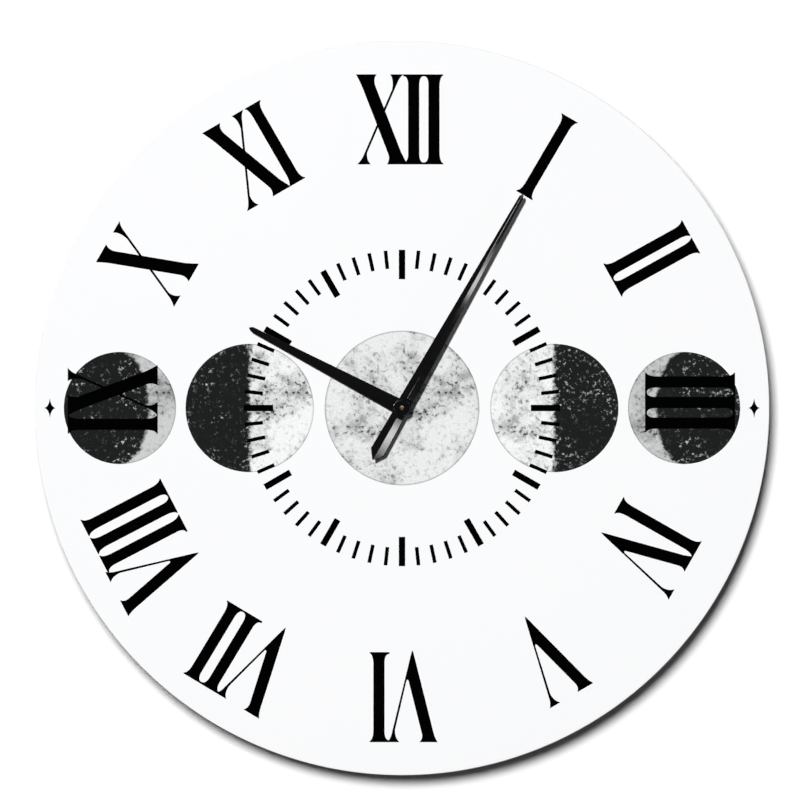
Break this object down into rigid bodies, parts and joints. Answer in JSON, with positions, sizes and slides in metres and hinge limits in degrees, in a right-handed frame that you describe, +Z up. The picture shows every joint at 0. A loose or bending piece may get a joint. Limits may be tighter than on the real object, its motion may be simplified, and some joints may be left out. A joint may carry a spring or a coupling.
{
  "type": "wall clock",
  "caption": "Frameless round wall clock: a thin white dial, two folded black hands and a small battery movement with its gear train behind.",
  "frame": {"origin": "on the spindle's axis, on the flat back of the movement, in the plane of the wall", "axes": "+Z up, +X to the right as the clock is seen, +Y into the wall, so the dial faces -Y"},
  "size_m": [0.3, 0.0278, 0.3],
  "materials": {
    "dial_white": "smooth satin, printed",
    "hand_black": "satin black coating",
    "case_black": "fine moulded grain",
    "foam_black": "closed-cell foam",
    "moulded_white": "moulded",
    "moulded_amber": "moulded",
    "brass": "turned",
    "steel": "stamped",
    "magnet_grey": "sintered",
    "copper": "enamelled wire",
    "board_green": "solder mask",
    "resin_black": "glossy resin",
    "cell_jacket": "printed foil jacket"
  },
  "bodies": {
    "movement_body": {"dial": "dial_white", "mounting_pad": "foam_black", "front_case": "case_black", "back_cover": "case_black", "hanger_clip": "case_black", "middle_plate": "moulded_white", "stator": "steel", "coil_core": "steel", "coil_bobbin": "moulded_white", "coil_winding": "copper", "circuit_board": "board_green", "clock_chip": "resin_black", "crystal_can": "steel", "contact_plus": "steel", "contact_minus": "steel"},
    "minute_works": {"minute_hand": "hand_black", "hand_nut": "hand_black", "minute_arbor": "brass", "clutch_spring": "steel"},
    "hour_works": {"hour_hand": "hand_black", "hour_hand_bush": "brass", "hour_wheel": "moulded_amber"},
    "motion_work": {"motion_wheel": "moulded_white"},
    "setting_works": {"setting_knob": "moulded_white", "setting_pinion": "moulded_white"},
    "rotor": {"rotor_magnet": "magnet_grey", "rotor_pinion": "moulded_amber"},
    "intermediate": {"intermediate_wheel": "moulded_amber"},
    "seconds_works": {"seconds_wheel": "moulded_white", "seconds_arbor": "brass"},
    "third": {"third_wheel": "moulded_white"},
    "clutch": {"clutch_gear": "moulded_amber"},
    "battery": {"battery_cell": "cell_jacket"}
  },
  "joints": [
    {"name": "minute_hand_spin", "type": "hinge", "parent": "movement_body", "child": "minute_works", "pos_m": [0, -0.0256, 0], "axis": [0, 1, 0], "continuous": true},
    {"name": "hour_hand_spin", "type": "hinge", "parent": "movement_body", "child": "hour_works", "pos_m": [0, -0.0232, 0], "axis": [0, 1, 0], "continuous": true},
    {"name": "motion_wheel_spin", "type": "hinge", "parent": "movement_body", "child": "motion_work", "pos_m": [0.00869, -0.0124, 0.00233], "axis": [0, 1, 0], "continuous": true},
    {"name": "setting_knob_spin", "type": "hinge", "parent": "movement_body", "child": "setting_works", "pos_m": [0.01739, -0.0124, 0.00466], "axis": [0, 1, 0], "continuous": true},
    {"name": "rotor_spin", "type": "hinge", "parent": "movement_body", "child": "rotor", "pos_m": [-0.0123, -0.0045, -0.0001], "axis": [0, 1, 0], "continuous": true},
    {"name": "intermediate_spin", "type": "hinge", "parent": "movement_body", "child": "intermediate", "pos_m": [-0.00624, -0.0065, -0.0036], "axis": [0, 1, 0], "continuous": true},
    {"name": "seconds_spin", "type": "hinge", "parent": "movement_body", "child": "seconds_works", "pos_m": [0, -0.0078, 0], "axis": [0, 1, 0], "continuous": true},
    {"name": "third_spin", "type": "hinge", "parent": "movement_body", "child": "third", "pos_m": [-0.00314, -0.0092, 0.00863], "axis": [0, 1, 0], "continuous": true},
    {"name": "clutch_spin", "type": "hinge", "parent": "movement_body", "child": "clutch", "pos_m": [0, -0.0108, 0], "axis": [0, 1, 0], "continuous": true},
    {"name": "battery_slide", "type": "slide", "parent": "movement_body", "child": "battery", "axis": [0, 1, 0], "range_m": [0, 0.02]}
  ],
  "couplings": [
    {"joint": "hour_hand_spin", "follows": "minute_hand_spin", "ratio": 0.083333},
    {"joint": "motion_wheel_spin", "follows": "minute_hand_spin", "ratio": -0.33333},
    {"joint": "setting_knob_spin", "follows": "minute_hand_spin", "ratio": 1},
    {"joint": "intermediate_spin", "follows": "rotor_spin", "ratio": -0.16667},
    {"joint": "seconds_spin", "follows": "rotor_spin", "ratio": 0.033333},
    {"joint": "third_spin", "follows": "rotor_spin", "ratio": -0.0044444},
    {"joint": "clutch_spin", "follows": "rotor_spin", "ratio": 0.00055556}
  ]
}
